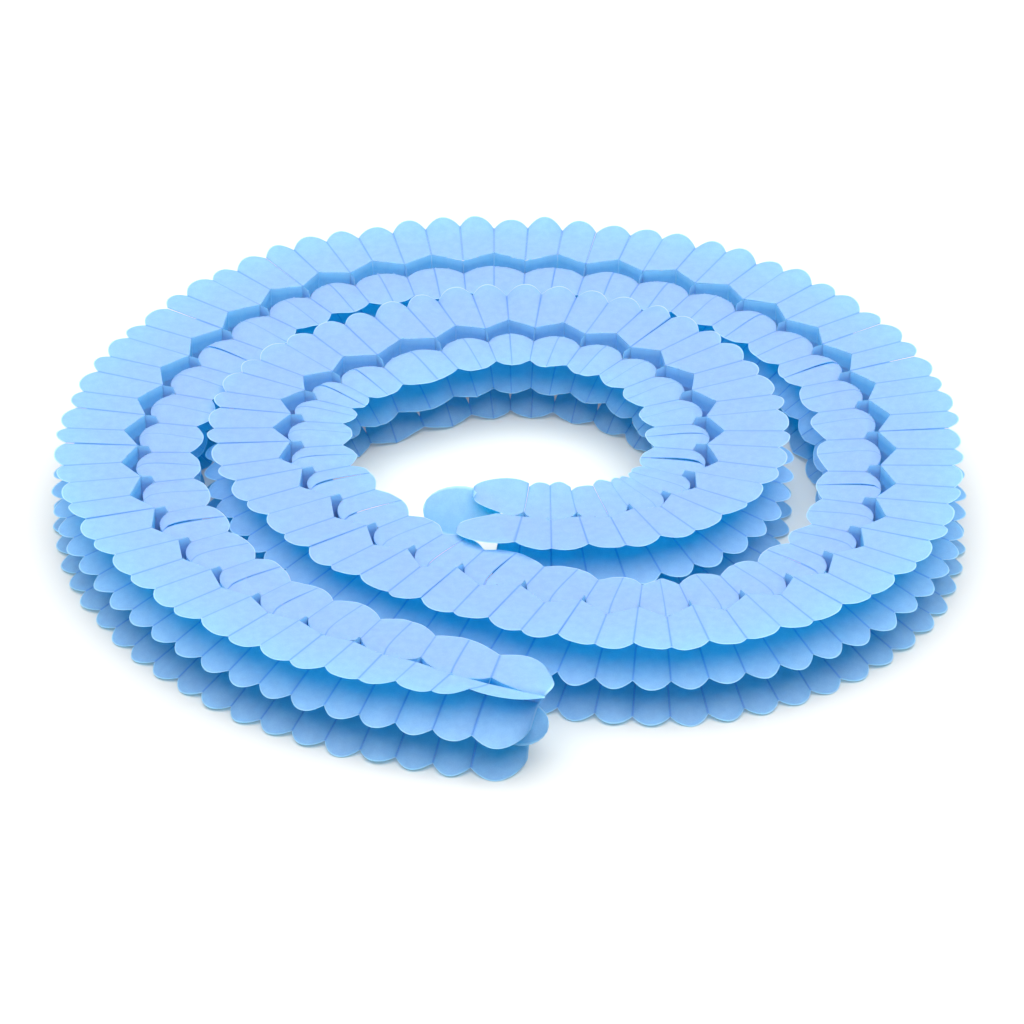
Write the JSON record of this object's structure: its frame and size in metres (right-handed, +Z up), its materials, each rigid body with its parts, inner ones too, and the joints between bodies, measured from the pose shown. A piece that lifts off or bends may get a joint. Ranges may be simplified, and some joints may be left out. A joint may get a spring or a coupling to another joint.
{
  "type": "paper garland",
  "caption": "Tissue paper garland of flower-shaped sheets glued petal to petal into an open accordion strand, lying flat in a loose coil.",
  "frame": {"origin": "middle of the coil's bounding box, on the surface it lies on", "axes": "+X to the right and +Y away from a viewer in front of the coil, +Z up; the strand runs anticlockwise outwards seen from above"},
  "size_m": [0.9281, 0.9332, 0.088],
  "materials": {
    "tissue": "matt, thin, slightly translucent tissue"
  },
  "bodies": {
    "coil": {"sheets_05": "tissue", "sheets_06": "tissue", "sheets_07": "tissue", "sheets_08": "tissue", "sheets_09": "tissue", "sheets_10": "tissue", "sheets_11": "tissue", "sheets_12": "tissue", "sheets_13": "tissue", "sheets_14": "tissue", "sheets_15": "tissue", "sheets_16": "tissue", "sheets_17": "tissue", "sheets_18": "tissue", "sheets_19": "tissue", "sheets_20": "tissue", "sheets_21": "tissue"},
    "inner_bend": {"sheets_04": "tissue", "sheets_03": "tissue"},
    "inner_tip": {"sheets_02": "tissue", "sheets_01": "tissue", "inner_end_sheet": "tissue"},
    "tail_1": {"sheets_22": "tissue", "sheets_23": "tissue"},
    "tail_2": {"sheets_24": "tissue", "sheets_25": "tissue"},
    "tail_3": {"sheets_26": "tissue", "sheets_27": "tissue"},
    "tail_4": {"sheets_28": "tissue", "sheets_29": "tissue"},
    "outer_tip": {"sheets_30": "tissue", "sheets_31": "tissue", "outer_end_sheet": "tissue"}
  },
  "joints": [
    {"name": "inner_bend_fold", "type": "hinge", "parent": "coil", "child": "inner_bend", "pos_m": [0.1831, 0.1152, 0.044], "axis": [0, 0, 1], "range_deg": [-20, 0], "deforming": ["sheets_04"]},
    {"name": "inner_tip_fold", "type": "hinge", "parent": "inner_bend", "child": "inner_tip", "pos_m": [0.1587, -0.0813, 0.044], "axis": [0, 0, 1], "range_deg": [-20, 0], "deforming": ["sheets_02"]},
    {"name": "tail_1_fold", "type": "hinge", "parent": "coil", "child": "tail_1", "pos_m": [0.0173, 0.3827, 0.044], "axis": [0, 0, 1], "range_deg": [-25, 0], "deforming": ["sheets_22"]},
    {"name": "tail_2_fold", "type": "hinge", "parent": "tail_1", "child": "tail_2", "pos_m": [-0.2158, 0.3282, 0.044], "axis": [0, 0, 1], "range_deg": [-25, 0], "deforming": ["sheets_24"]},
    {"name": "tail_3_fold", "type": "hinge", "parent": "tail_2", "child": "tail_3", "pos_m": [-0.3522, 0.1258, 0.044], "axis": [0, 0, 1], "range_deg": [-25, 0], "deforming": ["sheets_26"]},
    {"name": "tail_4_fold", "type": "hinge", "parent": "tail_3", "child": "tail_4", "pos_m": [-0.3483, -0.1109, 0.044], "axis": [0, 0, 1], "range_deg": [-25, 0], "deforming": ["sheets_28"]},
    {"name": "outer_tip_stretch", "type": "slide", "parent": "tail_4", "child": "outer_tip", "axis": [0.7957, -0.6057, 0], "range_m": [-0.025, 0.012], "deforming": ["sheets_30"]}
  ]
}
